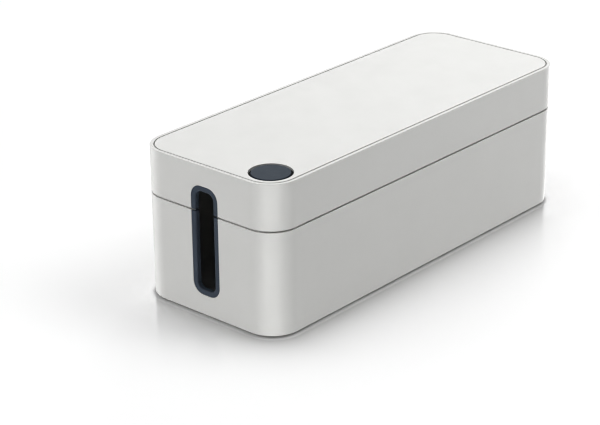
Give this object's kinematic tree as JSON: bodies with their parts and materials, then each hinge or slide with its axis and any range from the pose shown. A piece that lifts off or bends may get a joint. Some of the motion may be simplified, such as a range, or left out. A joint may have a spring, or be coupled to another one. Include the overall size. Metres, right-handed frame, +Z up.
{
  "type": "cable management box",
  "caption": "Rounded oblong box that hides a power strip: tub with lift-off lid, edged cable slot in each end, and a ringed cable outlet with a lift-out cap in the lid.",
  "frame": {"origin": "on the table plane, under the middle of the box", "axes": "+X along the box from the end beside the cable outlet to the far end, +Y from front to back, +Z up from the table"},
  "size_m": [0.406, 0.156, 0.139],
  "materials": {
    "shell_plastic": "fine satin moulded plastic, light grey",
    "panel_plastic": "fine matt moulded plastic, light grey",
    "trim_rubber": "matt slate grey soft moulding",
    "cap_plastic": "matt slate grey moulded plastic",
    "black_rubber": "matt black rubber"
  },
  "bodies": {
    "tub": {"base_tub": "shell_plastic", "tub_trim_left": "trim_rubber", "tub_trim_right": "trim_rubber", "foot_front_left": "black_rubber", "foot_front_right": "black_rubber", "foot_back_left": "black_rubber", "foot_back_right": "black_rubber"},
    "lid": {"lid_shell": "shell_plastic", "lid_panel": "panel_plastic", "lid_trim_left": "trim_rubber", "lid_trim_right": "trim_rubber", "outlet_ring": "black_rubber"},
    "cap": {"outlet_cap": "cap_plastic"}
  },
  "joints": [
    {"name": "lid_lift", "type": "slide", "parent": "tub", "child": "lid", "axis": [0, 0, 1], "range_m": [0, 0.12]},
    {"name": "cap_lift", "type": "slide", "parent": "lid", "child": "cap", "axis": [0, 0, 1], "range_m": [0, 0.03]}
  ]
}
